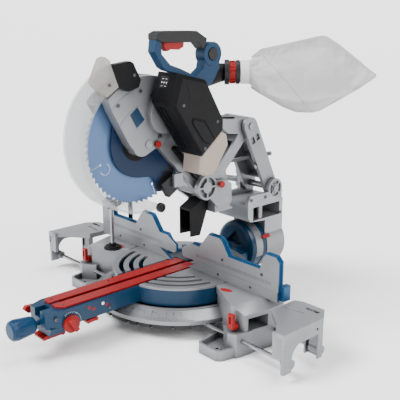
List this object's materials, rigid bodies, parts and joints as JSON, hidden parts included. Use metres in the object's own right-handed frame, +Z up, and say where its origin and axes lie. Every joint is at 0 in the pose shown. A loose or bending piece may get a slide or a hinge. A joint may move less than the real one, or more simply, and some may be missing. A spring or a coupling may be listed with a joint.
{
  "type": "sliding mitre saw",
  "caption": "Sliding compound mitre saw with a folding glide arm, swinging blade guard, tall sliding fences, pull-out side supports and a dust bag.",
  "frame": {"origin": "bench level on the turntable's axis, the middle of the bench bolts", "axes": "+X to the right of the saw, +Y to the back, +Z up"},
  "size_m": [0.944, 0.8999, 0.7247],
  "materials": {
    "silver": "satin cast",
    "steel": "ground",
    "blue": "satin",
    "navy": "satin",
    "red": "satin",
    "redpaint": "satin",
    "black": "fine grain",
    "bluepl": "fine grain",
    "rubber": "matt",
    "clear": "clear plastic",
    "cloth": "woven",
    "pale": "satin"
  },
  "bodies": {
    "base": {"base_casting": "silver", "mitre_scale": "silver", "detent_ring": "black", "fixed_fence": "silver", "clamp_post": "black"},
    "clamp_arm": {"clamp_arm": "black"},
    "right_support": {"right_support": "silver", "right_rods": "steel"},
    "left_support": {"left_support": "silver", "left_rods": "steel"},
    "right_support_lever": {"right_support_lever": "red"},
    "left_support_lever": {"left_support_lever": "red"},
    "right_fence": {"right_fence": "silver"},
    "left_fence": {"left_fence": "silver"},
    "clamp_spindle": {"clamp_spindle": "steel", "clamp_foot": "rubber"},
    "turntable": {"turntable": "blue", "table_top": "silver", "kerf_plates": "redpaint", "bevel_drum": "blue", "bevel_scale": "silver"},
    "mitre_knob": {"mitre_knob": "bluepl"},
    "detent_lever": {"detent_lever": "red"},
    "override_lever": {"override_lever": "red"},
    "bevel_dial": {"bevel_dial": "red"},
    "bevel_lever": {"bevel_lever": "red"},
    "tower": {"tower": "silver", "tower_pins": "steel", "bevel_pointer": "red"},
    "rear_link": {"rear_link": "silver"},
    "forearm": {"forearm": "silver", "elbow_pin": "steel", "elbow_pad": "black"},
    "carriage": {"carriage": "silver", "carriage_pins": "steel", "dust_chute": "black"},
    "lock_pin": {"lock_pin": "red"},
    "guide_rear": {"guide_rear_link": "silver", "guide_pin": "steel"},
    "guide_front": {"guide_front_link": "silver"},
    "head": {"head_casting": "silver", "guard_block": "black", "guard_baffle": "clear", "blade_cover": "navy", "motor_housing": "black", "arm_rails": "black", "handle_frame": "bluepl", "handle_grip": "rubber", "dust_spout": "black", "bag_collar": "red", "dust_bag": "cloth"},
    "battery": {"battery": "pale"},
    "trigger": {"trigger": "red"},
    "lock_lever": {"lock_lever": "red"},
    "spindle_lock": {"spindle_lock": "red"},
    "blade": {"blade": "steel", "blade_flanges": "steel"},
    "swing_guard": {"swing_guard": "clear"},
    "guard_roller": {"guard_roller": "rubber"}
  },
  "joints": [
    {"name": "right_support_slide", "type": "slide", "parent": "base", "child": "right_support", "axis": [1, 0, 0], "range_m": [0, 0.1]},
    {"name": "left_support_slide", "type": "slide", "parent": "base", "child": "left_support", "axis": [-1, 0, 0], "range_m": [0, 0.1]},
    {"name": "right_support_lever_turn", "type": "hinge", "parent": "base", "child": "right_support_lever", "pos_m": [0.3, -0.094, 0.069], "axis": [0, 1, 0], "range_deg": [0, 55]},
    {"name": "left_support_lever_turn", "type": "hinge", "parent": "base", "child": "left_support_lever", "pos_m": [-0.3, -0.094, 0.069], "axis": [0, -1, 0], "range_deg": [0, 55]},
    {"name": "right_fence_slide", "type": "slide", "parent": "base", "child": "right_fence", "axis": [1, 0, 0], "range_m": [0, 0.14]},
    {"name": "left_fence_slide", "type": "slide", "parent": "base", "child": "left_fence", "axis": [-1, 0, 0], "range_m": [0, 0.14]},
    {"name": "clamp_arm_swing", "type": "hinge", "parent": "base", "child": "clamp_arm", "pos_m": [-0.288, 0.054, 0.239], "axis": [0, 0, -1], "range_deg": [0, 88]},
    {"name": "clamp_spindle_lift", "type": "slide", "parent": "clamp_arm", "child": "clamp_spindle", "axis": [0, 0, -1], "range_m": [-0.06, 0]},
    {"name": "mitre", "type": "hinge", "parent": "base", "child": "turntable", "pos_m": [0, 0, 0.071], "axis": [0, 0, -1], "range_deg": [-60, 52]},
    {"name": "mitre_knob_turn", "type": "hinge", "parent": "turntable", "child": "mitre_knob", "pos_m": [0, -0.45, 0.079], "axis": [0, 1, 0], "range_deg": [-90, 90]},
    {"name": "detent_lever_press", "type": "hinge", "parent": "turntable", "child": "detent_lever", "pos_m": [-0.052, -0.388, 0.09], "axis": [1, 0, 0], "range_deg": [0, 10]},
    {"name": "override_lever_pull", "type": "hinge", "parent": "turntable", "child": "override_lever", "pos_m": [0, -0.378, 0.0467], "axis": [1, 0, 0], "range_deg": [0, 12]},
    {"name": "bevel_dial_turn", "type": "hinge", "parent": "turntable", "child": "bevel_dial", "pos_m": [0.052, -0.37, 0.075], "axis": [1, 0, 0], "range_deg": [-90, 90]},
    {"name": "bevel_lever_press", "type": "hinge", "parent": "turntable", "child": "bevel_lever", "pos_m": [0.04, -0.3, 0.0656], "axis": [1, 0, 0], "range_deg": [0, 20]},
    {"name": "bevel", "type": "hinge", "parent": "turntable", "child": "tower", "pos_m": [0, 0.25, 0.116], "axis": [0, -1, 0], "range_deg": [-47, 47]},
    {"name": "glide", "type": "hinge", "parent": "tower", "child": "rear_link", "pos_m": [0, 0.303, 0.28], "axis": [1, 0, 0], "range_deg": [-17, 29]},
    {"name": "glide_elbow", "type": "hinge", "parent": "rear_link", "child": "forearm", "pos_m": [0, 0.214, 0.46467], "axis": [1, 0, 0], "range_deg": [-60, 36]},
    {"name": "glide_carriage", "type": "hinge", "parent": "forearm", "child": "carriage", "pos_m": [0, 0.125, 0.28], "axis": [1, 0, 0], "range_deg": [-18, 30]},
    {"name": "guide_rear_turn", "type": "hinge", "parent": "tower", "child": "guide_rear", "pos_m": [-0.075, 0.303, 0.288], "axis": [0, 0, 1], "range_deg": [-18, 30]},
    {"name": "guide_elbow_turn", "type": "hinge", "parent": "guide_rear", "child": "guide_front", "pos_m": [-0.25967, 0.214, 0.288], "axis": [0, 0, 1], "range_deg": [-60, 36]},
    {"name": "transport_lock", "type": "slide", "parent": "carriage", "child": "lock_pin", "axis": [1, 0, 0], "range_m": [0, 0.008]},
    {"name": "chop", "type": "hinge", "parent": "carriage", "child": "head", "pos_m": [0, 0.054, 0.323], "axis": [1, 0, 0], "range_deg": [0, 52], "stiffness_Nm_per_rad": 45, "springref_deg": -17.13},
    {"name": "blade_spin", "type": "hinge", "parent": "head", "child": "blade", "pos_m": [0, -0.13, 0.46], "axis": [1, 0, 0], "continuous": true},
    {"name": "guard_swing", "type": "hinge", "parent": "head", "child": "swing_guard", "pos_m": [0, -0.13, 0.46], "axis": [1, 0, 0], "range_deg": [-134, 0]},
    {"name": "guard_roller_spin", "type": "hinge", "parent": "swing_guard", "child": "guard_roller", "pos_m": [0.04, -0.09345, 0.29635], "axis": [1, 0, 0], "continuous": true},
    {"name": "trigger_squeeze", "type": "hinge", "parent": "head", "child": "trigger", "pos_m": [0.098, -0.132, 0.695], "axis": [1, 0, 0], "range_deg": [0, 7]},
    {"name": "lock_lever_push", "type": "slide", "parent": "head", "child": "lock_lever", "axis": [1, 0, 0], "range_m": [0, 0.003]},
    {"name": "spindle_lock_press", "type": "slide", "parent": "head", "child": "spindle_lock", "axis": [-1, 0, 0], "range_m": [0, 0.003]},
    {"name": "battery_slide", "type": "slide", "parent": "head", "child": "battery", "axis": [0, 0.6275, -0.7786], "range_m": [0, 0.04]}
  ],
  "couplings": [
    {"joint": "glide_elbow", "follows": "glide", "ratio": -2},
    {"joint": "glide_carriage", "follows": "glide", "ratio": 1},
    {"joint": "guide_rear_turn", "follows": "glide", "ratio": 1},
    {"joint": "guide_elbow_turn", "follows": "glide", "ratio": -2},
    {"joint": "guard_swing", "follows": "chop", "ratio": -2.55}
  ]
}
